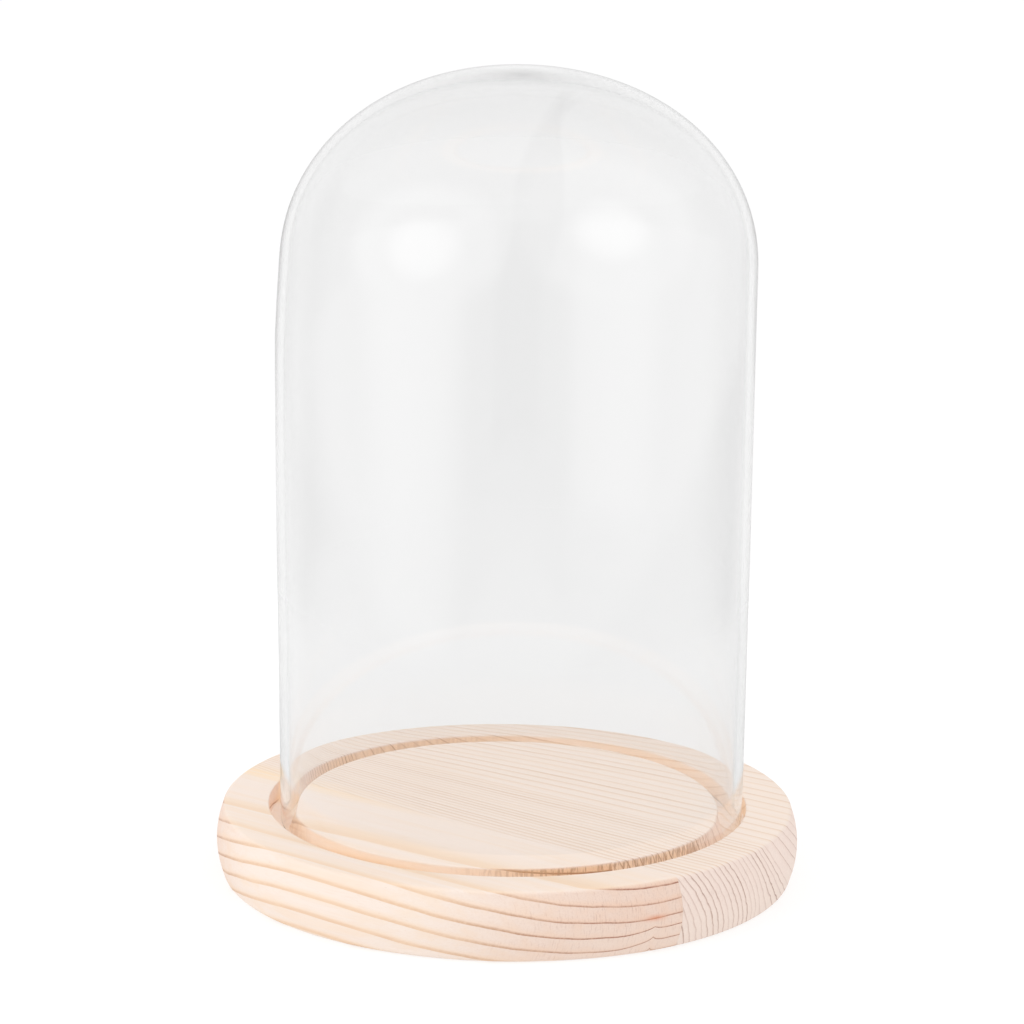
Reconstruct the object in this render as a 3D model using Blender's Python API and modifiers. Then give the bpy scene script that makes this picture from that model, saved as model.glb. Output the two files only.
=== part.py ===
"""Bell jar: a clear blown-glass dome that stands loose in the groove of a round wooden base.

The base is a disc turned from two pine boards glued edge to edge. The groove near its rim holds
the dome's lower edge, and the level disc inside the groove carries whatever is on show.

Frame: metres, +Z up. The origin is the centre of the base's underside, and X runs along the
grain, so the glue line between the boards is a plane of constant Y.
"""

import math

import bmesh
import bpy

MM = 0.001

# Base: one round disc, 18 mm pine.
BASE_RADIUS = 75.0 * MM  # at mid-height, where the side bulges most
BASE_THICKNESS = 18.0 * MM
SIDE_BULGE = 1.5 * MM  # how far the side's middle stands out from its two edges
EDGE_ROUND = 1.2 * MM
GROOVE_OUTER_RADIUS = 61.6 * MM
GROOVE_INNER_RADIUS = 54.3 * MM
GROOVE_DEPTH = 5.0 * MM
GROOVE_LIP = 0.4 * MM  # the small chamfer where the groove meets the top

# The two boards, split by the glue line.
SEAM_Y = -22.0 * MM
SEAM_GAP = 0.3 * MM

# Dome: a cylinder under a slightly flattened hemisphere, with a melted, rounded rim.
DOME_RADIUS = 60.0 * MM  # at the shoulder
RIM_RADIUS = 59.6 * MM  # the wall narrows a little towards its cut edge
GLASS_WALL = 2.2 * MM
DOME_TOP = 190.0 * MM  # above the base's top face
CROWN_HEIGHT = 50.0 * MM
CROWN_FULLNESS = 2.08  # exponent of the crown's superellipse; 2 is an ellipse
RIM_GAP = 0.3 * MM  # under the rim
DOME_OFFSET = 1.0 * MM  # the dome stands a little to one side of its play in the groove
DOME_OFFSET_AZIMUTH = math.radians(45.0)  # that side, counted from +X towards +Y

# Facets.
TURN_STEPS = 80
SIDE_STEPS = 6
EDGE_STEPS = 3
CROWN_STEPS = 13
RIM_STEPS = 4
SHARP_ANGLE = math.radians(32.0)
MERGE = 0.00001

PINE_FRONT = (0.80, 0.61, 0.42)
PINE_REAR = (0.78, 0.58, 0.38)
CLEAR_GLASS = (0.95, 0.97, 0.97)


def clear_scene():
    for obj in list(bpy.data.objects):
        bpy.data.objects.remove(obj)


def make_collection(name):
    group = bpy.data.collections.new(name)
    bpy.context.scene.collection.children.link(group)
    return group


def make_material(name, colour, roughness, transmission=0.0):
    material = bpy.data.materials.new(name)
    material.use_nodes = True
    shader = material.node_tree.nodes["Principled BSDF"]
    shader.inputs["Base Color"].default_value = (*colour, 1.0)
    shader.inputs["Roughness"].default_value = roughness
    shader.inputs["Metallic"].default_value = 0.0
    shader.inputs["Transmission Weight"].default_value = transmission
    return material


def arc(centre_r, centre_z, radius, start, end, steps):
    """Points of a circular arc in the (r, z) plane, with angles from +r towards +z."""
    points = []
    for i in range(steps + 1):
        angle = start + (end - start) * i / steps
        points.append((centre_r + radius * math.cos(angle), centre_z + radius * math.sin(angle)))
    return points


def bulged_side(edge_radius, top_z, bottom_z):
    """Points down the disc's side between its two rounded edges, standing out in the middle."""
    points = []
    for i in range(1, SIDE_STEPS):
        along = i / SIDE_STEPS
        stand_out = SIDE_BULGE * (1.0 - (2.0 * along - 1.0) ** 2)
        points.append((edge_radius + stand_out, top_z + (bottom_z - top_z) * along))
    return points


def base_profile():
    """The disc's half section: along the top and its groove, down the side, back to the axis."""
    top = BASE_THICKNESS
    floor = BASE_THICKNESS - GROOVE_DEPTH
    edge_radius = BASE_RADIUS - SIDE_BULGE
    groove = [
        (GROOVE_INNER_RADIUS - GROOVE_LIP, top),
        (GROOVE_INNER_RADIUS, top - GROOVE_LIP),
        (GROOVE_INNER_RADIUS, floor),
        (GROOVE_OUTER_RADIUS, floor),
        (GROOVE_OUTER_RADIUS, top - GROOVE_LIP),
        (GROOVE_OUTER_RADIUS + GROOVE_LIP, top),
    ]
    quarter = math.pi / 2
    round_r = edge_radius - EDGE_ROUND
    upper = arc(round_r, top - EDGE_ROUND, EDGE_ROUND, quarter, 0.0, EDGE_STEPS)
    lower = arc(round_r, EDGE_ROUND, EDGE_ROUND, 0.0, -quarter, EDGE_STEPS)
    side = bulged_side(edge_radius, top - EDGE_ROUND, EDGE_ROUND)
    return [(0.0, top)] + groove + upper + side + lower + [(0.0, 0.0)]


def crown(radius, height, spring_z):
    """Points from the apex down to the spring line, on a superellipse."""
    power = 2.0 / CROWN_FULLNESS
    points = [(0.0, spring_z + height)]
    for i in range(1, CROWN_STEPS):
        angle = math.pi / 2 * (1.0 - i / CROWN_STEPS)
        r = radius * math.cos(angle) ** power
        z = spring_z + height * math.sin(angle) ** power
        points.append((r, z))
    return points + [(radius, spring_z)]


def dome_profile():
    """The wall's closed section: down the outside, round the rim, and up the inside to the axis.

    Heights are counted from the rim's lowest point.
    """
    rim_z = BASE_THICKNESS - GROOVE_DEPTH + RIM_GAP
    apex = BASE_THICKNESS + DOME_TOP - rim_z
    spring = apex - CROWN_HEIGHT
    half_wall = GLASS_WALL / 2
    outside = crown(DOME_RADIUS, CROWN_HEIGHT, spring)
    inside = crown(DOME_RADIUS - GLASS_WALL, CROWN_HEIGHT - GLASS_WALL, spring)
    rim = arc(RIM_RADIUS - half_wall, half_wall, half_wall, 0.0, -math.pi, RIM_STEPS)
    return outside + rim + inside[::-1]


def turned(name, profile, location, group):
    """A solid of revolution about Z from (r, z) points that run down its outer side."""
    mesh = bpy.data.meshes.new(name)
    build = bmesh.new()
    verts = [build.verts.new((r, 0.0, z)) for r, z in profile]
    for first, second in zip(verts, verts[1:]):
        build.edges.new((first, second))
    build.to_mesh(mesh)
    build.free()
    obj = bpy.data.objects.new(name, mesh)
    obj.location = location
    group.objects.link(obj)
    screw = obj.modifiers.new("turn", "SCREW")
    screw.axis = "Z"
    screw.angle = 2.0 * math.pi
    screw.steps = TURN_STEPS
    screw.render_steps = TURN_STEPS
    screw.use_merge_vertices = True
    screw.merge_threshold = MERGE
    return obj


def half_space(name, y_from, direction, group):
    """A box cutter that covers everything on one side of the plane y = y_from."""
    size = 4.0 * BASE_RADIUS
    bpy.ops.mesh.primitive_cube_add(size=size)
    cutter = bpy.context.active_object
    cutter.name = name
    cutter.location = (0.0, y_from + direction * size / 2, BASE_THICKNESS / 2)
    for owner in list(cutter.users_collection):
        owner.objects.unlink(cutter)
    group.objects.link(cutter)
    cutter.hide_render = True
    cutter.display_type = "WIRE"
    return cutter


def cut_away(obj, cutter):
    boolean = obj.modifiers.new("split", "BOOLEAN")
    boolean.operation = "DIFFERENCE"
    boolean.solver = "EXACT"
    boolean.object = cutter


def finish(obj, material):
    """Turn the modifiers into the mesh, smooth it up to its sharp edges and give its material."""
    graph = bpy.context.evaluated_depsgraph_get()
    mesh = bpy.data.meshes.new_from_object(obj.evaluated_get(graph), depsgraph=graph)
    obj.modifiers.clear()
    obj.data = mesh
    mesh.shade_smooth()
    mesh.set_sharp_from_angle(angle=SHARP_ANGLE)
    mesh.materials.clear()
    mesh.materials.append(material)


def build_base(parts, cutters):
    """Both boards are the same turned disc, each cut back to its own side of the glue line."""
    boards = (
        ("base_front_board", SEAM_Y - SEAM_GAP / 2, 1.0, PINE_FRONT),
        ("base_rear_board", SEAM_Y + SEAM_GAP / 2, -1.0, PINE_REAR),
    )
    for name, plane_y, cut_side, colour in boards:
        board = turned(name, base_profile(), (0.0, 0.0, 0.0), parts)
        cut_away(board, half_space(name + "_cut", plane_y, cut_side, cutters))
        finish(board, make_material(name, colour, 0.55))


def build_dome(parts):
    """The dome's origin is the middle of its rim, on the line it lifts along."""
    location = (
        DOME_OFFSET * math.cos(DOME_OFFSET_AZIMUTH),
        DOME_OFFSET * math.sin(DOME_OFFSET_AZIMUTH),
        BASE_THICKNESS - GROOVE_DEPTH + RIM_GAP,
    )
    dome = turned("glass_dome", dome_profile(), location, parts)
    finish(dome, make_material("glass_dome", CLEAR_GLASS, 0.02, 1.0))


def main():
    clear_scene()
    parts = make_collection("bell_jar")
    cutters = make_collection("cutters")
    build_base(parts, cutters)
    build_dome(parts)


main()
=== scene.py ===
"""Looks of the bell jar: a turned pine base, a blown glass dome and a white studio around them.

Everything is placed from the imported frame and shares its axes: metres, +Z up, the origin under
the base's centre, X along the grain, and the glue line between the boards at a constant Y.
"""

import math
from collections import namedtuple
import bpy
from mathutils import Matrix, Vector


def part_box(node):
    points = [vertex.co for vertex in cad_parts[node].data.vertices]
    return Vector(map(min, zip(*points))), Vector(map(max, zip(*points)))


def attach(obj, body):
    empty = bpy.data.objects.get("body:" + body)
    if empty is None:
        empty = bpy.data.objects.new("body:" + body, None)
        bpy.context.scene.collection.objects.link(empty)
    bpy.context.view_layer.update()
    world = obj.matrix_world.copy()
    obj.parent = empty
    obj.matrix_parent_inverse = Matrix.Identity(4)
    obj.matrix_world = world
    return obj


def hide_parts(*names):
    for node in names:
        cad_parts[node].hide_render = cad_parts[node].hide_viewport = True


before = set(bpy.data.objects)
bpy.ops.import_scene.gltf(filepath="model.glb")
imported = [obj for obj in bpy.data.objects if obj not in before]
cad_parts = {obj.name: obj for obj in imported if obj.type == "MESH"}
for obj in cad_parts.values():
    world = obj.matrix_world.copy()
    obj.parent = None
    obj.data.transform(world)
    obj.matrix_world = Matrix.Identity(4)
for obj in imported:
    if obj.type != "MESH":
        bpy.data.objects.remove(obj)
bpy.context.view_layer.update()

from types import SimpleNamespace

import bmesh
import bpy
from mathutils import Euler, Vector

MM = 0.001

# ---- Sizes that come from the frame --------------------------------------------------------
FRONT_LOW, FRONT_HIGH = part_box("base_front_board")
REAR_LOW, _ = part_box("base_rear_board")
DOME_LOW, DOME_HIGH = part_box("glass_dome")
BASE_RADIUS = -FRONT_LOW.y
BASE_TOP = FRONT_HIGH.z
SEAM_Y = (FRONT_HIGH.y + REAR_LOW.y) / 2
DOME_CENTRE = (DOME_LOW + DOME_HIGH) / 2
DOME_RADIUS = (DOME_HIGH.x - DOME_LOW.x) / 2
RIM_Z = DOME_LOW.z
APEX_Z = DOME_HIGH.z

# ---- Base ----------------------------------------------------------------------------------
GROOVE_OUTER = 61.6 * MM
GROOVE_INNER = 54.3 * MM
GROOVE_DEPTH = 5.0 * MM
LIP_ROUND = 0.45 * MM  # the eased arris where the groove meets the top
FILLET = 0.5 * MM  # in the groove's corners
SIDE_BULGE = 1.5 * MM
EDGE_ROUND = 1.2 * MM
GLUE_LINE = 0.04 * MM  # what is seen of the joint between the boards
PLATEAU_RINGS = (0.25, 0.5, 0.75, 0.95)  # rings of points on the level middle, by their radius
BASE_STEPS = 288
ARC_STEPS = 5
SIDE_STEPS = 14
SHARP_ANGLE = math.radians(30.0)

# ---- Dome ----------------------------------------------------------------------------------
GLASS_WALL = 2.2 * MM
RIM_RADIUS = DOME_RADIUS - 0.4 * MM  # the wall draws in by a hair at its cut edge
CROWN_HEIGHT = 50.0 * MM
CROWN_FULLNESS = 2.08  # exponent of the crown's superellipse; 2 is an ellipse
APEX_WALL = 2.7 * MM  # blown glass is thickest at the top of the crown
INNER_FULLNESS = 2.12  # the inside is a little fuller than the outside, so the shoulders thin
DOME_STEPS = 512
CROWN_STEPS = 60
WALL_STEPS = 16
RIM_STEPS = 8
BULGE_AZIMUTH = math.radians(218.0)  # the blown wall swells a little towards this side
BULGE = 1.05 * MM
BULGE_Z = 138.0 * MM  # the height at which it swells most
BULGE_TOP_Z = 164.0 * MM  # the height at which it is round again
CROWN_LEAN = 0.4 * MM  # the crown leans away from the bulge
WAVE = 0.05 * MM  # unevenness of the blown wall
WALL_WAVE = 0.02 * MM  # unevenness of its thickness

# ---- Camera and studio ---------------------------------------------------------------------
CAMERA_AZIMUTH = 37.78  # degrees; 0 looks along +Y
CAMERA_ELEVATION = 13.30
CAMERA_ROLL = 0.745
CAMERA_DISTANCE = 1.0119
CAMERA_AIM = Vector((0.15, 0.11, 94.64)) * MM
CAMERA_LENS = 139.92  # mm
SENSOR = 36.0  # mm
FLOOR_RADIUS = 2.4
FLOOR_SEGMENTS = 96
FLOOR_DROP = 0.2 * MM  # keeps the floor's face clear of the base's underside
FLOOR_LIT = 0.345  # radius up to which the floor is lit; further out it is plain white
FLOOR_FADE = 0.09  # width over which the lit floor goes over into the plain one
FLOOR_MATT = 0.36  # how much light the lit floor throws back
FLOOR_GLOW = 0.575  # what it adds to that in the glass's reflections, close to the base
FLOOR_GLOW_FAR = 0.64  # the same near the end of the lit part, where the softboxes reach less
FLOOR_GLOW_SEEN = 0.10  # what it adds to the eye
FLOOR_BOUNCE = 0.61  # light it gives to the wood above it
PLAIN_WHITE = 1.01  # the plain floor's own light; the world behind it is 1
SKY = 0.885  # even light on everything that isn't shiny
SOFTBOX_SIZE = 0.7
SOFTBOX_DISTANCE = 1.3
# The two lamps that light the scene: azimuth counted from the camera's, elevation, power.
LEFT_LAMP = (-60.0, 29.0, 3.9)
RIGHT_LAMP = (68.0, 36.0, 2.35)


def srgb(red, green, blue):
    """Linear colour from 0-255 display values."""
    channels = []
    for value in (red, green, blue):
        share = value / 255.0
        channels.append(share / 12.92 if share <= 0.04045 else ((share + 0.055) / 1.055) ** 2.4)
    return (*channels, 1.0)


# ============================================================================================
# Shapes
# ============================================================================================

def arc(centre_r, centre_z, radius, start, end, steps):
    """Points of an arc in the (r, z) plane; angles in degrees from +r towards +z."""
    points = []
    for i in range(steps + 1):
        angle = math.radians(start + (end - start) * i / steps)
        points.append((centre_r + radius * math.cos(angle), centre_z + radius * math.sin(angle)))
    return points


def base_profile():
    """Half section of the disc: along the top through the groove, down the side, and underneath."""
    top, floor = BASE_TOP, BASE_TOP - GROOVE_DEPTH
    plateau = [(0.0, top)] + [(GROOVE_INNER * share, top) for share in PLATEAU_RINGS]
    groove = arc(GROOVE_INNER - LIP_ROUND, top - LIP_ROUND, LIP_ROUND, 90, 0, ARC_STEPS)
    groove += arc(GROOVE_INNER + FILLET, floor + FILLET, FILLET, 180, 270, ARC_STEPS)
    groove += arc(GROOVE_OUTER - FILLET, floor + FILLET, FILLET, -90, 0, ARC_STEPS)
    groove += arc(GROOVE_OUTER + LIP_ROUND, top - LIP_ROUND, LIP_ROUND, 180, 90, ARC_STEPS)
    edge = BASE_RADIUS - SIDE_BULGE
    upper = arc(edge - EDGE_ROUND, top - EDGE_ROUND, EDGE_ROUND, 90, 0, ARC_STEPS)
    lower = arc(edge - EDGE_ROUND, EDGE_ROUND, EDGE_ROUND, 0, -90, ARC_STEPS)
    side = []
    for i in range(1, SIDE_STEPS):
        along = i / SIDE_STEPS
        stand_out = SIDE_BULGE * (1.0 - (2.0 * along - 1.0) ** 2)
        side.append((edge + stand_out, top - EDGE_ROUND + (2 * EDGE_ROUND - top) * along))
    underside = [(GROOVE_INNER, 0.0), (GROOVE_INNER / 2, 0.0), (0.0, 0.0)]
    return plateau + groove + upper + side + lower + underside


def crown(radius, height, fullness, spring_z):
    """Points from the apex down to the spring line, on a superellipse."""
    power = 2.0 / fullness
    points = [(0.0, spring_z + height)]
    for i in range(1, CROWN_STEPS + 1):
        angle = math.pi / 2 * (1.0 - i / CROWN_STEPS)
        r = radius * math.cos(angle) ** power
        points.append((r, spring_z + height * math.sin(angle) ** power))
    return points


def wall(radius, foot_radius, spring_z, foot_z):
    """Points down the straight wall, which draws in by a hair at its foot."""
    points = []
    for i in range(1, WALL_STEPS + 1):
        along = i / WALL_STEPS
        r = radius + (foot_radius - radius) * along ** 3
        points.append((r, spring_z + (foot_z - spring_z) * along))
    return points


def dome_profile():
    """The glass wall's closed section: down outside, round the melted rim, and up inside."""
    half = GLASS_WALL / 2
    spring = APEX_Z - CROWN_HEIGHT
    outside = crown(DOME_RADIUS, CROWN_HEIGHT, CROWN_FULLNESS, spring)
    outside += wall(DOME_RADIUS, RIM_RADIUS, spring, RIM_Z + half)
    rim = arc(RIM_RADIUS - half, RIM_Z + half, half, 0, -180, RIM_STEPS)[1:-1]
    inner_radius = DOME_RADIUS - GLASS_WALL
    inside = crown(inner_radius, CROWN_HEIGHT - APEX_WALL, INNER_FULLNESS, spring)
    inside += wall(inner_radius, RIM_RADIUS - GLASS_WALL, spring, RIM_Z + half)
    return outside, rim, inside[::-1]


def revolve(points, steps, offset=None):
    """A bmesh turned about Z from (r, z) points that run from the axis round to the axis.

    offset(index, angle, r, z) moves a point outwards by what it returns.
    """
    build = bmesh.new()
    rings = []
    for index, (r, z) in enumerate(points):
        if r == 0.0:
            rings.append([build.verts.new((0.0, 0.0, z))])
            continue
        ring = []
        for i in range(steps):
            angle = 2.0 * math.pi * i / steps
            reach = r + (offset(index, angle, r, z) if offset else 0.0)
            ring.append(build.verts.new((reach * math.cos(angle), reach * math.sin(angle), z)))
        rings.append(ring)
    for first, second in zip(rings, rings[1:]):
        for i in range(steps):
            j = (i + 1) % steps
            corners = [first[i % len(first)], second[i % len(second)]]
            corners += [second[j % len(second)], first[j % len(first)]]
            build.faces.new(list(dict.fromkeys(corners)))
    return build


def add_object(name, build, material):
    """An object from a bmesh, smooth up to its sharp edges."""
    mesh = bpy.data.meshes.new(name)
    build.to_mesh(mesh)
    build.free()
    mesh.shade_smooth()
    mesh.set_sharp_from_angle(angle=SHARP_ANGLE)
    mesh.materials.append(material)
    obj = bpy.data.objects.new(name, mesh)
    bpy.context.scene.collection.objects.link(obj)
    return obj


def make_board(name, node, side, material):
    """The turned disc, cut back to one side of the glue line. side is -1 in front, +1 behind."""
    build = revolve(base_profile(), BASE_STEPS)
    bmesh.ops.bisect_plane(
        build,
        geom=build.verts[:] + build.edges[:] + build.faces[:],
        plane_co=(0.0, SEAM_Y + side * GLUE_LINE / 2, 0.0),
        plane_no=(0.0, -side, 0.0),
        clear_outer=True,
    )
    cut = [edge for edge in build.edges if edge.is_boundary]
    bmesh.ops.contextual_create(build, geom=cut)
    bmesh.ops.recalc_face_normals(build, faces=build.faces[:])
    board = add_object(name, build, material)
    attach(board, "base")
    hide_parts(node)


def smoothly(value, start, end):
    """From 0 to 1 as value goes from start to end."""
    share = min(1.0, max(0.0, (value - start) / (end - start)))
    return share * share * (3.0 - 2.0 * share)


def out_of_round(angle, z):
    """How far the blown wall lies outside a true circle: a bulge on one side, and a lean above it."""
    facing = math.cos(angle - BULGE_AZIMUTH)
    swell = smoothly(z, BASE_TOP, BULGE_Z) * smoothly(z, BULGE_TOP_Z, BULGE_Z)
    lean = smoothly(z, BULGE_Z, APEX_Z)
    return BULGE * swell * max(0.0, facing) ** 2 - CROWN_LEAN * lean * facing


def blown_wave(angle, z):
    """Two shallow waves round the wall, which turn slowly with height."""
    slow = math.sin(2.0 * angle + 1.3 + 14.0 * z)
    quick = 0.5 * math.sin(3.0 * angle - 2.1 - 37.0 * z)
    return WAVE * (slow + quick)


def thickness_wave(angle, z):
    """How far the wall's inside wanders from its outside."""
    return WALL_WAVE * math.sin(2.0 * angle + 0.4 - 31.0 * z) * math.sin(3.0 * angle + 55.0 * z)


def make_dome(material):
    """The blown wall, turned round the dome's own axis and then pushed a little out of true."""
    outside, rim, inside = dome_profile()
    inner_start = len(outside) + len(rim)

    def offset(index, angle, r, z):
        reach = r / DOME_RADIUS
        moved = out_of_round(angle, z) + blown_wave(angle, z)
        if index >= inner_start:
            moved += thickness_wave(angle, z)
        return moved * reach

    build = revolve(outside + rim + inside, DOME_STEPS, offset)
    dome = add_object("glass_dome_blown", build, material)
    dome.location = (DOME_CENTRE.x, DOME_CENTRE.y, 0.0)
    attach(dome, "dome")
    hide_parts("glass_dome")


# ============================================================================================
# Node trees
# ============================================================================================

class Graph:
    """Writes a node tree as formulas: each method adds a node and returns its output."""

    def __init__(self, tree):
        self.tree = tree
        tree.nodes.clear()

    def node(self, kind, **settings):
        made = self.tree.nodes.new(kind)
        for name, value in settings.items():
            setattr(made, name, value)
        return made

    def feed(self, socket, value):
        if isinstance(value, bpy.types.NodeSocket):
            self.tree.links.new(value, socket)
        elif value is not None:
            socket.default_value = value

    def math(self, operation, *values):
        made = self.node("ShaderNodeMath", operation=operation)
        for socket, value in zip(made.inputs, values):
            self.feed(socket, value)
        return made.outputs[0]

    def add(self, *values):
        """The sum of two or more values."""
        total = values[0]
        for value in values[1:]:
            total = self.math("ADD", total, value)
        return total

    def sub(self, a, b):
        return self.math("SUBTRACT", a, b)

    def mul(self, *values):
        """The product of two or more values."""
        total = values[0]
        for value in values[1:]:
            total = self.math("MULTIPLY", total, value)
        return total

    def ramp(self, value, start, end, low=0.0, high=1.0):
        """Smoothly from low to high as value goes from start to end."""
        made = self.node("ShaderNodeMapRange", interpolation_type="SMOOTHSTEP")
        self.feed(made.inputs["Value"], value)
        self.feed(made.inputs["From Min"], start)
        self.feed(made.inputs["From Max"], end)
        self.feed(made.inputs["To Min"], low)
        self.feed(made.inputs["To Max"], high)
        return made.outputs[0]

    def bell(self, value, centre, width):
        """1 where value is at centre, falling to about 0 two widths away."""
        away = self.math("DIVIDE", self.sub(value, centre), width)
        return self.math("POWER", math.e, self.mul(away, away, -1.0))

    def vector(self, x, y, z):
        made = self.node("ShaderNodeCombineXYZ")
        for socket, value in zip(made.inputs, (x, y, z)):
            self.feed(socket, value)
        return made.outputs[0]

    def split(self, vector):
        made = self.node("ShaderNodeSeparateXYZ")
        self.feed(made.inputs[0], vector)
        return made.outputs[0], made.outputs[1], made.outputs[2]

    def dot(self, vector, direction):
        made = self.node("ShaderNodeVectorMath", operation="DOT_PRODUCT")
        self.feed(made.inputs[0], vector)
        self.feed(made.inputs[1], tuple(direction))
        return made.outputs["Value"]

    def normalised(self, vector):
        made = self.node("ShaderNodeVectorMath", operation="NORMALIZE")
        self.feed(made.inputs[0], vector)
        return made.outputs["Vector"]

    def noise(self, vector, scale=1.0, detail=2.0, roughness=0.5):
        """Noise from 0 to 1, mostly near a half."""
        made = self.node("ShaderNodeTexNoise", noise_dimensions="3D")
        self.feed(made.inputs["Vector"], vector)
        made.inputs["Scale"].default_value = scale
        made.inputs["Detail"].default_value = detail
        made.inputs["Roughness"].default_value = roughness
        return made.outputs[0]

    def random(self, value):
        """A number from 0 to 1 that is the same wherever value is."""
        made = self.node("ShaderNodeTexWhiteNoise", noise_dimensions="1D")
        self.feed(made.inputs["W"], value)
        return made.outputs["Value"]

    def mix(self, share, a, b):
        """Colour a, with that share of colour b."""
        made = self.node("ShaderNodeMix", data_type="RGBA")
        self.feed(made.inputs[0], share)
        self.feed(made.inputs[6], a)
        self.feed(made.inputs[7], b)
        return made.outputs[2]

    def blend(self, share, a, b):
        """Shader a, with that share of shader b."""
        made = self.node("ShaderNodeMixShader")
        self.feed(made.inputs[0], share)
        self.feed(made.inputs[1], a)
        self.feed(made.inputs[2], b)
        return made.outputs[0]

    def surface(self, shader, output="ShaderNodeOutputMaterial"):
        self.tree.links.new(shader, self.node(output).inputs["Surface"])


def new_material(name):
    material = bpy.data.materials.new(name)
    material.use_nodes = True
    return material, Graph(material.node_tree)


# ============================================================================================
# Pine
# ============================================================================================

# Colours of each board: pale early wood, warmer late wood and the dark line that ends a ring,
# first on faces along the grain, then on end grain.
FRONT_FACE = (srgb(243, 228, 217), srgb(243, 217, 190), srgb(229, 194, 164))
FRONT_END = (srgb(235, 210, 195), srgb(235, 201, 179), srgb(154, 96, 74))
REAR_FACE = (srgb(243, 228, 217), srgb(241, 221, 203), srgb(219, 188, 161))
REAR_END = (srgb(240, 222, 212), srgb(236, 215, 204), srgb(166, 130, 114))
DASH_BROWN = srgb(214, 176, 144)
LOW_END = srgb(242, 226, 213)  # end grain is paler towards the bottom of the side
RESIN_TINT = srgb(249, 222, 188)
KNOT_RED = srgb(221, 138, 98)
# Painted shade: the warm, darker colour given to the groove's walls where shade falls in the recess.
GROOVE_PAINTED_SHADE = srgb(230, 194, 146)
GROOVE_LINE = srgb(150, 104, 72)
GROOVE_GLOW = 0.09  # painted light: the groove glows a little, standing in for the light that the glass carries down to its rim
PLATEAU_GLOW = 0.035  # painted light: the level disc inside the glass glows a little, standing in for the light that the glass spreads over it
IN_GLASS = srgb(212, 210, 208)  # the wood as the glass mirrors it, faint and without colour

# From here to the end of the pine, lengths in formulas are in millimetres.
PIN_X = 68.0  # a pin knot near the +X end of the front board lifts the lower rings here
PIN_Y = -29.5
SMEAR_Z = 9.2  # height of the reddish smear beside the knot
RESIN_Y = -22.8  # a resin streak runs along the top here, close to the glue line
FRONT_REACH = 45.0  # the front board's rings bend across it, counted from this far before Y = 0
FIRST_RING = 0.7  # level of the front board's first dark line
RING_STEP = 4.45  # from its first line to the next, or nearly
RING_SHRINK = 0.1  # each further step is less than the one before by twice this
REAR_FAN_X = 64.0  # the rear board's rings fan out from this X
CLOSE_RINGS_END = 14.0  # level up to which the rear board's rings are close
CLOSE_STEP = 1.935  # from line to line up to there
WIDE_STEP = 4.6  # from line to line beyond it
REAR_FIRST = 12.0  # keeps the rear board's ring numbers above 0
FRONT_LINE_SHARE = 0.095  # how much of a ring its dark line takes in the front board

BUMP_STRENGTH = 0.5
BUMP_DEPTH = 0.08 * MM

# What sets one board apart from the other: its ring formula, its colours, how strong its weakest
# dark line is, how strong its lines are on the top, how strong its rays are on end grain, and
# the seed of its lines' strengths.
Board = namedtuple("Board", "rings face end_grain weakest_line top_lines rays seed")


def millimetres(g):
    """The shaded point in the row frame, in millimetres."""
    made = g.node("ShaderNodeVectorMath", operation="SCALE")
    g.feed(made.inputs[0], g.node("ShaderNodeTexCoord").outputs["Object"])
    made.inputs["Scale"].default_value = 1000.0
    return g.split(made.outputs["Vector"])


def grain_noise(g, spot, along, across, upright, detail=2.0, roughness=0.5):
    """Noise in the wood, with its own scale along the grain, across it and upwards."""
    place = g.vector(g.mul(spot.x, along), g.mul(spot.y, across), g.mul(spot.z, upright))
    return g.noise(place, detail=detail, roughness=roughness)


def shaded_spot(g):
    """What the formulas know of the shaded point: its place, the way it faces, and its fibres.

    end is 0 on faces along the grain and 1 on end grain.
    """
    spot = SimpleNamespace()
    spot.x, spot.y, spot.z = millimetres(g)
    normal = g.node("ShaderNodeNewGeometry").outputs["Normal"]
    facing_x, spot.facing_y, spot.facing_z = g.split(normal)
    spot.end = g.ramp(g.math("ABSOLUTE", facing_x), 0.30, 0.92)
    spot.radius = g.math("SQRT", g.add(g.mul(spot.x, spot.x), g.mul(spot.y, spot.y)))
    spot.fine = grain_noise(g, spot, 0.035, 2.6, 2.6, detail=3.0, roughness=0.6)
    spot.broad = grain_noise(g, spot, 0.012, 0.35, 0.35)
    return spot


def wander(g, spot, lengthways, across, amount):
    """Noise drawn out along the grain, centred on 0."""
    noise = grain_noise(g, spot, 1.0 / lengthways, 1.0 / across, 1.0 / across, detail=1.0)
    return g.mul(g.sub(noise, 0.5), 2.0 * amount)


def pin_knot(g, spot, depth):
    """How far the pin knot lifts the rings: a sharp hump, and a step up behind it."""
    away = g.math("ABSOLUTE", g.sub(spot.y, PIN_Y))
    hump = g.mul(g.math("POWER", math.e, g.mul(away, -1.0)), 1.3)
    step = g.mul(g.ramp(spot.y, PIN_Y - 8.0, PIN_Y - 0.5), 0.8)
    return g.mul(g.add(hump, step), g.bell(spot.x, PIN_X, 9.0), g.ramp(depth, 9.0, 12.5))


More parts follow.
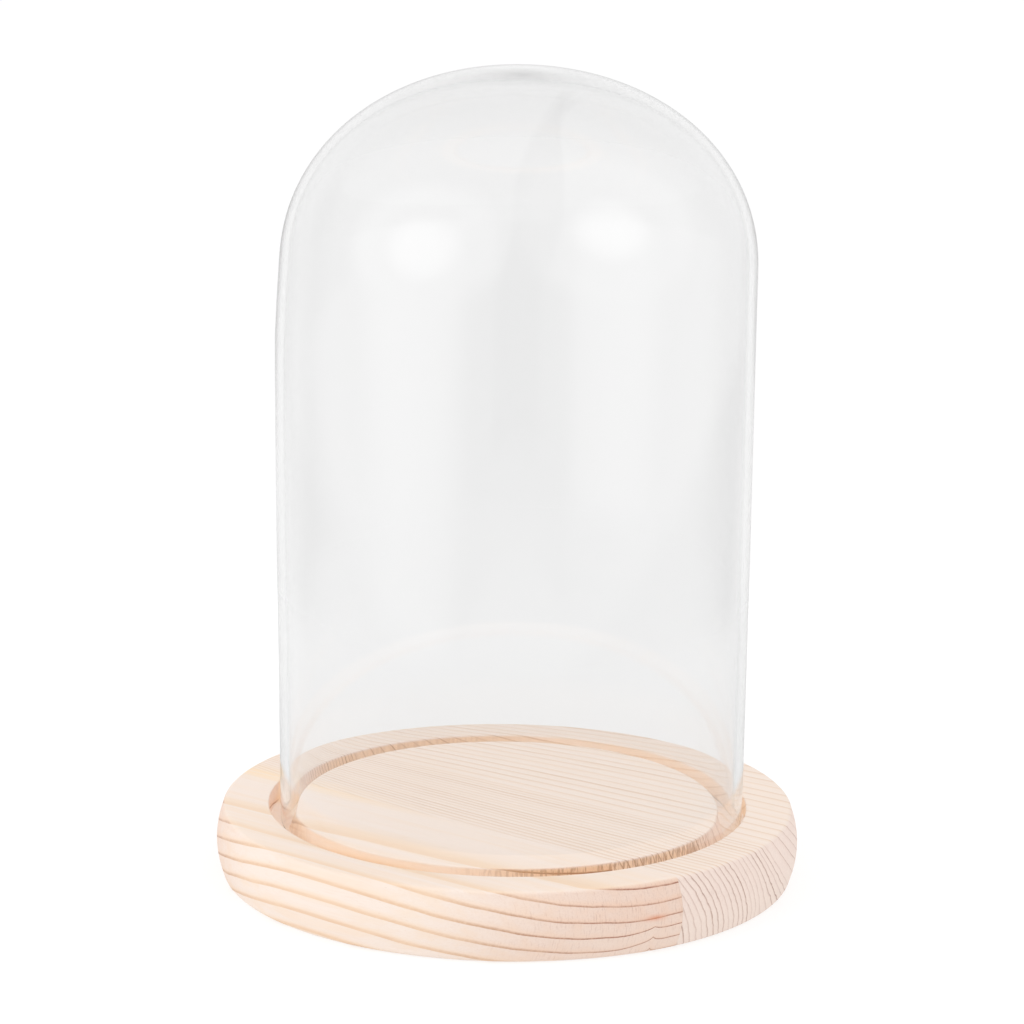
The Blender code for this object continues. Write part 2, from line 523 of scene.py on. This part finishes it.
def front_rings(g, spot):
    """Ring number through the flat-sawn board, and how much of a ring its dark line takes.

    The number grows downwards, away from the pith. On the way back through the board the rings
    bow, twist along the grain and lean further with depth.
    """
    depth = g.sub(BASE_TOP / MM, spot.z)
    out = g.add(spot.y, FRONT_REACH)
    bow = g.add(g.mul(out, -0.25), g.mul(out, out, 0.00385))
    twist = g.add(g.mul(spot.x, 0.0148), g.mul(spot.x, out, 0.00099))
    lean = g.mul(depth, out, 0.0077)
    slow = wander(g, spot, 45.0, 11.0, 0.35)
    quick = wander(g, spot, 14.0, 3.0, 0.12)
    level = g.add(depth, bow, twist, lean, pin_knot(g, spot, depth), slow, quick)
    # Ring k lies at a level of FIRST_RING + RING_STEP * k - RING_SHRINK * k^2: solved for k.
    under = g.sub(RING_STEP ** 2, g.mul(g.sub(level, FIRST_RING), 4.0 * RING_SHRINK))
    number = g.mul(g.sub(RING_STEP, g.math("SQRT", under)), 0.5 / RING_SHRINK)
    return g.add(number, 1.0), FRONT_LINE_SHARE


def rear_rings(g, spot):
    """The same through the rift-sawn board: close rings by the glue line, wide ones behind.

    The rings fan out along the grain, and tilt as they go down, more so further back.
    """
    fan = g.sub(REAR_FAN_X, spot.x)
    spread = g.math("DIVIDE", spot.y, g.sub(1.0, g.mul(fan, fan, 0.00002)))
    below = g.sub(15.5, spot.z)
    tilt = g.add(0.56, g.mul(g.math("MAXIMUM", g.sub(spread, 8.0), 0.0), 0.034))
    slow = wander(g, spot, 60.0, 2.5, 0.35)
    quick = wander(g, spot, 16.0, 5.0, 0.3)
    level = g.add(spread, g.mul(tilt, below, -1.0), g.mul(below, below, 0.007), quick, slow)
    close = g.add(g.math("MINIMUM", level, CLOSE_RINGS_END), 20.8)
    close = g.math("DIVIDE", close, CLOSE_STEP)
    wide = g.math("MAXIMUM", g.sub(level, CLOSE_RINGS_END), 0.0)
    wide = g.math("DIVIDE", wide, WIDE_STEP)
    line_share = g.ramp(level, CLOSE_RINGS_END - 1.0, CLOSE_RINGS_END + 1.0, 0.20, 0.09)
    return g.add(close, wide, REAR_FIRST), line_share


def ring_look(g, spot, board):
    """How far the point is through its ring, how much late wood it has, and how dark a line."""
    rings, line_share = board.rings(g, spot)
    rings = g.math("MAXIMUM", rings, 0.0)
    phase = g.math("FRACT", rings)
    late = g.ramp(phase, 0.35, 0.97)
    late = g.mul(late, late)

    own = g.random(g.add(g.math("FLOOR", rings), board.seed))
    strength = g.ramp(own, 0.0, 1.0, board.weakest_line, 1.0)
    strength = g.mul(strength, g.ramp(spot.facing_z, 0.4, 0.9, 1.0, board.top_lines))
    line_share = g.mul(line_share, g.ramp(spot.end, 0.0, 1.0, 1.5, 1.0))
    before_end = g.math("DIVIDE", g.sub(1.0, phase), line_share)
    soft_edge = g.ramp(spot.end, 0.0, 1.0, 2.0, 1.55)
    line = g.mul(g.ramp(before_end, soft_edge, 0.35), g.ramp(before_end, 0.0, 0.12), strength)
    return phase, late, line


def resin_dashes(g, spot):
    """Short brown dashes along the grain, where resin canals are cut open."""
    cells = g.node("ShaderNodeTexVoronoi", feature="F1")
    place = g.vector(g.mul(spot.x, 0.16), g.mul(spot.y, 1.5), g.mul(spot.z, 1.5))
    g.feed(cells.inputs["Vector"], place)
    cells.inputs["Scale"].default_value = 1.0
    near = g.ramp(cells.outputs["Distance"], 0.17, 0.05)
    few = g.ramp(g.split(cells.outputs["Color"])[0], 0.72, 0.80)
    return g.mul(near, few)


def grain_colour(g, spot, board, late, line):
    """The sawn wood itself: rings, fibres, rays and resin dashes."""
    pale, warm, dark = [
        g.mix(spot.end, on_face, on_end) for on_face, on_end in zip(board.face, board.end_grain)
    ]
    body = g.mix(g.mul(late, 0.9), pale, warm)
    body = g.mix(g.mul(line, g.ramp(spot.fine, 0.25, 0.62, 0.65, 1.0)), body, dark)
    body = g.mix(g.ramp(spot.fine, 0.40, 0.80, 0.0, 0.14), body, dark)
    body = g.mix(g.ramp(spot.broad, 0.40, 0.72, 0.0, 0.35), body, warm)
    rays = g.ramp(grain_noise(g, spot, 0.3, 3.6, 0.45), 0.55, 0.75)
    body = g.mix(g.mul(rays, spot.end, board.rays), body, dark)
    dashes = g.mul(resin_dashes(g, spot), g.sub(1.0, spot.end), 0.30)
    return g.mix(dashes, body, DASH_BROWN)


def local_marks(g, spot, body, line):
    """What is found in one place only: the pale foot, the resin streak and the knot's smear."""
    low = g.mul(g.ramp(spot.z, 12.0, 3.0), g.ramp(spot.end, 0.6, 1.0), g.sub(1.0, line))
    body = g.mix(g.mul(low, 0.35), body, LOW_END)
    streak = g.mul(g.bell(spot.y, RESIN_Y, 4.0), g.ramp(spot.x, 2.0, -70.0))
    streak = g.mul(streak, g.ramp(spot.broad, 0.2, 0.6))
    body = g.mix(g.mul(streak, 0.8), body, RESIN_TINT)
    smear = g.mul(g.bell(spot.y, PIN_Y, 2.4), g.bell(spot.z, SMEAR_Z, 0.7))
    smear = g.mul(smear, g.ramp(spot.x, 50.0, 60.0))
    return g.mix(g.mul(smear, 0.55), body, KNOT_RED)


def groove_marks(g, spot, body, line, in_groove):
    """Painted shade in the groove: a warm, darker colour on walls that face -Y, stronger on end grain
    and faint on the groove's floor. Then the end grain that the cutter tore on its walls, fainter on
    walls that face +Y.
    """
    # Painted shade: full on the walls and little on the groove's floor, most where the walls face -Y.
    wall_shade = g.ramp(spot.facing_z, 0.8, 0.3, 0.15, 1.0)
    shade = g.ramp(spot.facing_y, 0.3, -0.1, 0.06, 0.52)
    shade = g.mul(shade, g.ramp(spot.end, 0.0, 0.8, 0.5, 1.0))
    body = g.mix(g.mul(in_groove, wall_shade, shade), body, GROOVE_PAINTED_SHADE)
    torn = g.ramp(grain_noise(g, spot, 1.1, 1.7, 0.25), 0.46, 0.60)
    torn = g.mul(torn, g.ramp(spot.radius, 59.0, 57.0, 0.2, 0.75))
    marks = g.mul(g.math("MAXIMUM", line, torn), spot.end)
    marks = g.mul(marks, g.ramp(spot.facing_y, 0.4, 0.0, 0.25, 1.0))
    return g.mix(g.mul(in_groove, marks, 0.75), body, GROOVE_LINE)


def seen_in_glass(g):
    """1 where the glass mirrors the wood, apart from the short ways close to its rim."""
    path = g.node("ShaderNodeLightPath")
    bounced = g.math("MINIMUM", path.outputs["Glossy Depth"], 1.0)
    return g.mul(bounced, g.ramp(path.outputs["Ray Length"], 0.04, 0.08))


def sanded_relief(g, spot, late):
    """A shallow bump from fibres, harder late wood and the lathe's turning marks."""
    place = g.vector(g.mul(spot.radius, 2.2), 0.0, g.mul(spot.z, 2.2))
    turning = g.noise(place, detail=1.0)
    relief = g.add(g.mul(spot.fine, 0.5), g.mul(late, 0.35), g.mul(turning, 0.12))
    bump = g.node("ShaderNodeBump")
    bump.inputs["Strength"].default_value = BUMP_STRENGTH
    bump.inputs["Distance"].default_value = BUMP_DEPTH
    g.feed(bump.inputs["Height"], relief)
    return bump.outputs[0]


def pine_material(name, board):
    """Raw sanded pine whose rings run on through the board from face to face."""
    material, g = new_material(name)
    spot = shaded_spot(g)
    phase, late, line = ring_look(g, spot, board)
    in_groove = g.mul(g.ramp(spot.z, 18.0, 17.2), g.ramp(spot.radius, 64.0, 62.5))
    on_plateau = g.mul(g.ramp(spot.radius, 55.0, 54.0), g.ramp(spot.facing_z, 0.5, 0.9))
    mirrored = seen_in_glass(g)

    body = grain_colour(g, spot, board, late, line)
    body = local_marks(g, spot, body, line)
    body = groove_marks(g, spot, body, line, in_groove)
    body = g.mix(mirrored, body, IN_GLASS)
    # Painted light: the groove and the level disc glow a little, though they are no lamp; not where
    # the glass mirrors them.
    glow = g.add(g.mul(in_groove, GROOVE_GLOW), g.mul(on_plateau, PLATEAU_GLOW))

    shader = g.node("ShaderNodeBsdfPrincipled")
    shader.inputs["Specular IOR Level"].default_value = 0.25
    g.feed(shader.inputs["Base Color"], body)
    g.feed(shader.inputs["Roughness"], g.ramp(phase, 0.3, 1.0, 0.68, 0.55))
    g.feed(shader.inputs["Emission Color"], body)
    g.feed(shader.inputs["Emission Strength"], g.mul(glow, g.sub(1.0, mirrored)))
    g.feed(shader.inputs["Normal"], sanded_relief(g, spot, late))
    g.surface(shader.outputs[0])
    return material


FRONT_BOARD = Board(
    rings=front_rings,
    face=FRONT_FACE,
    end_grain=FRONT_END,
    weakest_line=0.7,
    top_lines=0.25,
    rays=0.28,
    seed=3.0,
)
REAR_BOARD = Board(
    rings=rear_rings,
    face=REAR_FACE,
    end_grain=REAR_END,
    weakest_line=0.3,
    top_lines=0.85,
    rays=0.10,
    seed=17.0,
)


# ============================================================================================
# Glass
# ============================================================================================

CLEAR = (0.972, 0.972, 0.972, 1.0)  # the glass takes away very little, evenly in all colours
GLASS_IOR = 1.5


def glass_material():
    """Clear glass that lets plain light through, so that the wood under it is lit evenly."""
    material, g = new_material("clear_glass")
    glass = g.node("ShaderNodeBsdfPrincipled")
    glass.inputs["Base Color"].default_value = CLEAR
    glass.inputs["Roughness"].default_value = 0.0
    glass.inputs["IOR"].default_value = GLASS_IOR
    glass.inputs["Transmission Weight"].default_value = 1.0
    clear = g.node("ShaderNodeBsdfTransparent")
    path = g.node("ShaderNodeLightPath")
    plain = g.math("MAXIMUM", path.outputs["Is Shadow Ray"], path.outputs["Is Diffuse Ray"])
    g.surface(g.blend(plain, glass.outputs[0], clear.outputs[0]))
    return material


# ============================================================================================
# Studio
# ============================================================================================

# The surroundings as the glass mirrors them. Directions are as the camera has them: right, up and
# ahead, each from -1 to 1.
ROOM = 0.35  # the room behind the camera, level with it
CEILING = 0.50
LEFT_WALL = 0.77
RIGHT_WALL = 0.66
OUTLINE = 0.22  # how dark the crown's outermost rim is, where it mirrors what is straight ahead
STAND_DARK = 0.6  # how dark the camera and its stand are between the softboxes
LOW_DARK = 0.38  # how dark the low part of the room is round the camera's stand
MIRRORED_LEFT = Vector((-0.717, 0.205, -0.665)).normalized()
MIRRORED_RIGHT = Vector((0.668, 0.386, -0.632)).normalized()
# Each softbox: its direction, the cosine at which its halo ends, and the halo's strength.
MIRRORED_SOFTBOXES = ((MIRRORED_LEFT, 0.70, 0.50), (MIRRORED_RIGHT, 0.62, 0.24))
SOFTBOX_HEART = 0.74  # how much brighter the middle of a softbox is than its halo


def mirrored_room(g, right, up, ahead):
    """The studio as the glass shows it: a dim room, pale walls and a white backdrop."""
    side = g.math("ABSOLUTE", right)
    room = g.ramp(up, 0.0, 0.9, ROOM, CEILING)
    wall = g.ramp(right, -0.3, 0.3, LEFT_WALL, RIGHT_WALL)
    beside = g.mul(g.ramp(ahead, -0.85, 0.35), g.ramp(side, 0.15, 0.8))
    room = g.add(room, g.mul(beside, g.sub(wall, room)))
    skirting = g.ramp(g.sub(up, g.mul(ahead, 0.29)), -0.235, -0.255)
    left_depth = g.ramp(ahead, 0.8, 0.5, 0.0, 0.13)
    depth = g.ramp(right, -0.3, 0.3, left_depth, 0.25)
    room = g.sub(room, g.mul(skirting, g.ramp(side, 0.3, 0.6), depth))
    backdrop_start = g.ramp(up, 0.0, 0.5, 0.58, 0.38)
    backdrop_full = g.ramp(up, 0.0, 0.5, 0.92, 0.97)
    backdrop = g.ramp(ahead, backdrop_start, backdrop_full)
    return g.add(room, g.mul(backdrop, g.sub(1.0, room)))


def mirrored_gap(g, right, up, ahead):
    """How much light is left in the dark gap between the softboxes, where the camera stands."""
    middle = g.ramp(up, -0.42, 0.5, 0.0, 0.14)
    half_width = g.ramp(ahead, -0.9, 0.5, 0.19, 0.02)
    off = g.math("ABSOLUTE", g.sub(right, middle))
    stand = g.ramp(g.sub(off, half_width), 0.005, -0.005)
    stand = g.mul(stand, g.ramp(up, -0.434, -0.430))
    stand = g.mul(stand, g.ramp(ahead, 0.7, 0.5))
    low = g.mul(g.ramp(right, -0.56, -0.42), g.ramp(right, 0.48, 0.36))
    low = g.mul(low, g.ramp(up, -0.465, -0.455), g.ramp(up, -0.05, -0.25))
    low = g.mul(low, g.ramp(ahead, 0.1, -0.1))
    return g.mul(g.sub(1.0, g.mul(stand, STAND_DARK)), g.sub(1.0, g.mul(low, LOW_DARK)))


def mirrored_softboxes(g, direction, seen):
    """What is seen so far, with the two softboxes in it: a halo round each and a bright heart."""
    for softbox, edge, halo in MIRRORED_SOFTBOXES:
        towards = g.dot(direction, softbox)
        seen = g.add(seen, g.mul(g.ramp(towards, edge, edge + 0.18), halo))
        seen = g.add(seen, g.mul(g.ramp(towards, 0.92, 1.0), SOFTBOX_HEART))
    return seen


def make_world():
    """White behind the object, a dim room with two softboxes behind the camera, even light on wood.

    It turns with the camera, so that the glass reads the same way from every side.
    """
    world = bpy.data.worlds.new("studio")
    world.use_nodes = True
    bpy.context.scene.world = world
    g = Graph(world.node_tree)
    direction = g.normalised(g.node("ShaderNodeTexCoord").outputs["Camera"])
    right, up, ahead = g.split(direction)
    seen = g.mul(mirrored_room(g, right, up, ahead), mirrored_gap(g, right, up, ahead))
    seen = mirrored_softboxes(g, direction, seen)

    path = g.node("ShaderNodeLightPath")
    grazing = g.mul(g.ramp(ahead, 0.92, 0.98), g.ramp(up, 0.0, 0.05))
    grazing = g.mul(grazing, g.math("MINIMUM", path.outputs["Glossy Depth"], 1.0))
    seen = g.mul(seen, g.sub(1.0, g.mul(grazing, OUTLINE)))
    lighting = path.outputs["Is Diffuse Ray"]
    seen = g.add(g.mul(seen, g.sub(1.0, lighting)), g.mul(lighting, SKY))
    background = g.node("ShaderNodeBackground")
    background.inputs["Color"].default_value = (1.0, 1.0, 1.0, 1.0)
    strength = g.math("MAXIMUM", seen, path.outputs["Is Camera Ray"])
    g.feed(background.inputs["Strength"], strength)
    g.surface(background.outputs[0], "ShaderNodeOutputWorld")


def direction_from(azimuth, elevation):
    """The direction away from the object at these angles, in degrees."""
    a = math.radians(azimuth)
    e = math.radians(elevation)
    return Vector((math.sin(a) * math.cos(e), -math.cos(a) * math.cos(e), math.sin(e)))


def add_softbox(name, beside_camera, elevation, power):
    """A large square light that only lights: the glass mirrors the world's softboxes instead."""
    light = bpy.data.lights.new(name, "AREA")
    light.size = SOFTBOX_SIZE
    light.energy = power
    lamp = bpy.data.objects.new(name, light)
    bpy.context.scene.collection.objects.link(lamp)
    away = direction_from(CAMERA_AZIMUTH + beside_camera, elevation)
    lamp.location = away * SOFTBOX_DISTANCE
    lamp.rotation_euler = away.to_track_quat("Z", "Y").to_euler()
    lamp.visible_glossy = False
    lamp.visible_transmission = False


def mirrored_floor_glow(g, radius):
    """Light of the lit floor in the glass: most from behind the object, none from before it."""
    to_camera = g.node("ShaderNodeVectorTransform", vector_type="VECTOR")
    to_camera.convert_from = "WORLD"
    to_camera.convert_to = "CAMERA"
    g.feed(to_camera.inputs[0], g.node("ShaderNodeNewGeometry").outputs["Incoming"])
    sideways, _, ahead = g.split(to_camera.outputs[0])
    full = g.ramp(radius, 90.0, 260.0, FLOOR_GLOW, FLOOR_GLOW_FAR)
    share = g.mul(g.math("MAXIMUM", g.sub(0.6, ahead), 0.0), 0.63)
    share = g.mul(g.math("MINIMUM", share, 1.0), g.ramp(sideways, -0.3, -0.8, 1.0, 0.7))
    return g.mul(share, full)


def lit_floor(g, radius, path):
    """Matt white under the softboxes, with the light it adds to the glass and to the wood."""
    matt = g.node("ShaderNodeBsdfDiffuse")
    matt.inputs["Color"].default_value = (FLOOR_MATT, FLOOR_MATT, FLOOR_MATT, 1.0)
    seen = g.mul(path.outputs["Is Camera Ray"], FLOOR_GLOW_SEEN)
    other = g.add(seen, mirrored_floor_glow(g, radius))
    lighting = path.outputs["Is Diffuse Ray"]
    strength = g.add(g.mul(lighting, FLOOR_BOUNCE), g.mul(g.sub(1.0, lighting), other))
    glow = g.node("ShaderNodeEmission")
    g.feed(glow.inputs["Strength"], strength)
    lit = g.node("ShaderNodeAddShader")
    g.tree.links.new(matt.outputs[0], lit.inputs[0])
    g.tree.links.new(glow.outputs[0], lit.inputs[1])
    return lit.outputs[0]


def make_floor():
    """A white table top, lit round the base.

    Beyond that it is plain white to the eye, and open to light and to the reflections in the
    glass, which go on to the room.
    """
    material, g = new_material("white_floor")
    x, y, _ = millimetres(g)
    radius = g.math("SQRT", g.add(g.mul(x, x), g.mul(y, y)))
    path = g.node("ShaderNodeLightPath")
    white = g.node("ShaderNodeEmission")
    white.inputs["Strength"].default_value = PLAIN_WHITE
    gone = g.node("ShaderNodeBsdfTransparent")
    astray = g.math("MAXIMUM", path.outputs["Glossy Depth"], path.outputs["Diffuse Depth"])
    astray = g.math("MAXIMUM", astray, path.outputs["Is Shadow Ray"])
    beyond = g.blend(g.math("MINIMUM", astray, 1.0), white.outputs[0], gone.outputs[0])
    rim = FLOOR_LIT / MM
    share = g.ramp(radius, rim - FLOOR_FADE / MM, rim, 0.0, 0.98)
    g.surface(g.blend(share, lit_floor(g, radius, path), beyond))
    build = bmesh.new()
    bmesh.ops.create_circle(build, cap_ends=True, radius=FLOOR_RADIUS, segments=FLOOR_SEGMENTS)
    floor = add_object("floor", build, material)
    floor.location.z = -FLOOR_DROP


def make_camera():
    """A long lens, a little above the object, rolled by less than a degree."""
    data = bpy.data.cameras.new("camera")
    data.lens = CAMERA_LENS
    data.sensor_width = SENSOR
    camera = bpy.data.objects.new("camera", data)
    bpy.context.scene.collection.objects.link(camera)
    away = direction_from(CAMERA_AZIMUTH, CAMERA_ELEVATION)
    camera.location = CAMERA_AIM + away * CAMERA_DISTANCE
    roll = Euler((0.0, 0.0, math.radians(CAMERA_ROLL))).to_quaternion()
    camera.rotation_euler = (away.to_track_quat("Z", "Y") @ roll).to_euler()
    bpy.context.scene.camera = camera


def main():
    bpy.context.scene.view_settings.view_transform = "Standard"
    front = pine_material("pine_flat_sawn", FRONT_BOARD)
    rear = pine_material("pine_rift_sawn", REAR_BOARD)
    make_board("front_board_turned", "base_front_board", -1, front)
    make_board("rear_board_turned", "base_rear_board", 1, rear)
    make_dome(glass_material())
    make_floor()
    make_world()
    add_softbox("softbox_left", *LEFT_LAMP)
    add_softbox("softbox_right", *RIGHT_LAMP)
    make_camera()


main()
